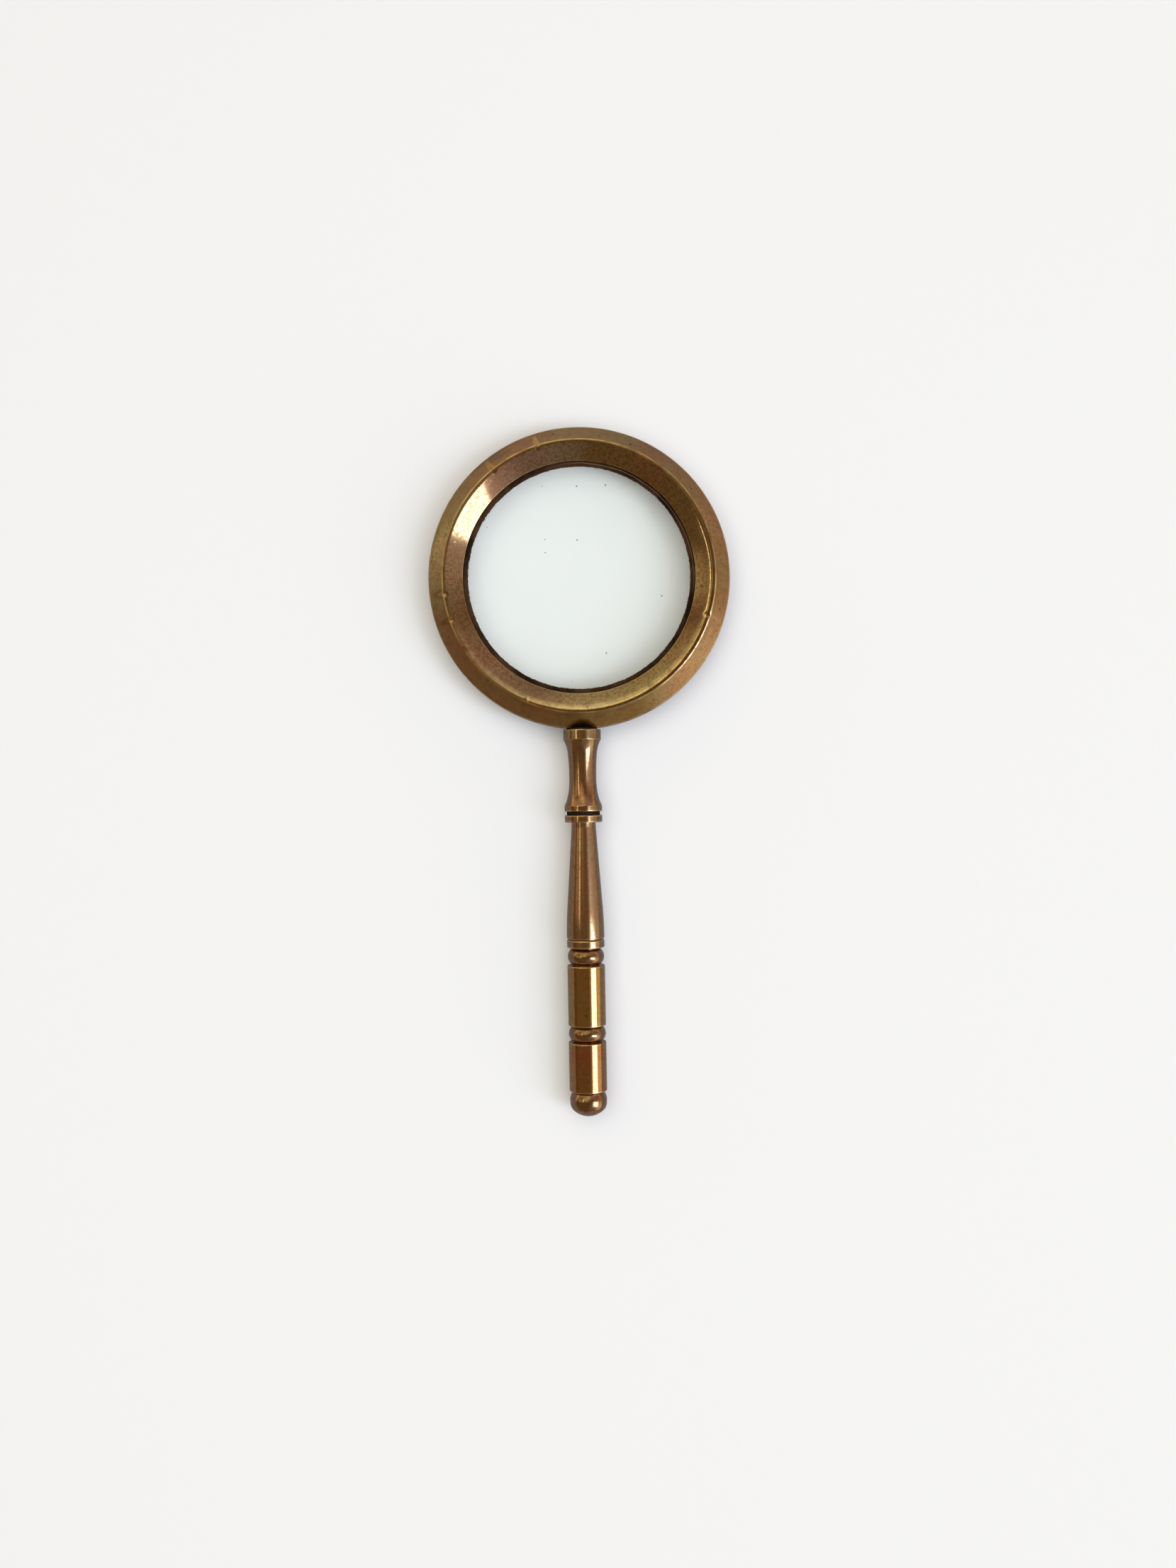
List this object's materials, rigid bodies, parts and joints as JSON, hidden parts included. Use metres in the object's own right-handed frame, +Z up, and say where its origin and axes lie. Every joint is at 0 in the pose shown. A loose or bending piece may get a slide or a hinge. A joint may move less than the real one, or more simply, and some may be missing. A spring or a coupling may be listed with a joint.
{
  "type": "magnifying glass",
  "caption": "Round double-convex lens in a bevelled brass ring, on a slim turned brass handle with a tapered grip, beads and a domed pommel.",
  "frame": {"origin": "under the middle of the whole glass, on the surface it lies on", "axes": "+Z up along the lens axis, -Y along the handle from the ring to the pommel, +X to the right"},
  "size_m": [0.0762, 0.1746, 0.0112],
  "materials": {
    "ring_brass": "aged, turned, satin",
    "handle_brass": "aged, lacquered, dark",
    "lens_glass": "polished",
    "fibre": "dark vulcanised fibre",
    "steel": "turned"
  },
  "bodies": {
    "lens_head": {"lens_frame": "ring_brass", "lens": "lens_glass", "front_gasket": "fibre", "rear_gasket": "fibre", "retaining_ring": "ring_brass", "frame_stud": "steel"},
    "seat_washer": {"seat_washer": "fibre"},
    "handle": {"neck_ferrule": "handle_brass", "joint_washer": "fibre", "grip_collar": "handle_brass", "tapered_grip": "handle_brass", "upper_bead": "handle_brass", "upper_barrel": "handle_brass", "lower_bead": "handle_brass", "lower_barrel": "handle_brass", "pommel": "handle_brass", "tie_rod": "steel"}
  },
  "joints": [
    {"name": "handle_advance", "type": "slide", "parent": "lens_head", "child": "seat_washer", "axis": [0, -1, 0], "range_m": [0, 0.00735]},
    {"name": "handle_turn", "type": "hinge", "parent": "seat_washer", "child": "handle", "pos_m": [0, 0.0109, 0.0056], "axis": [0, -1, 0], "range_deg": [0, 3790]}
  ],
  "couplings": [
    {"joint": "handle_turn", "follows": "handle_advance", "rad_per_m": 8976}
  ]
}
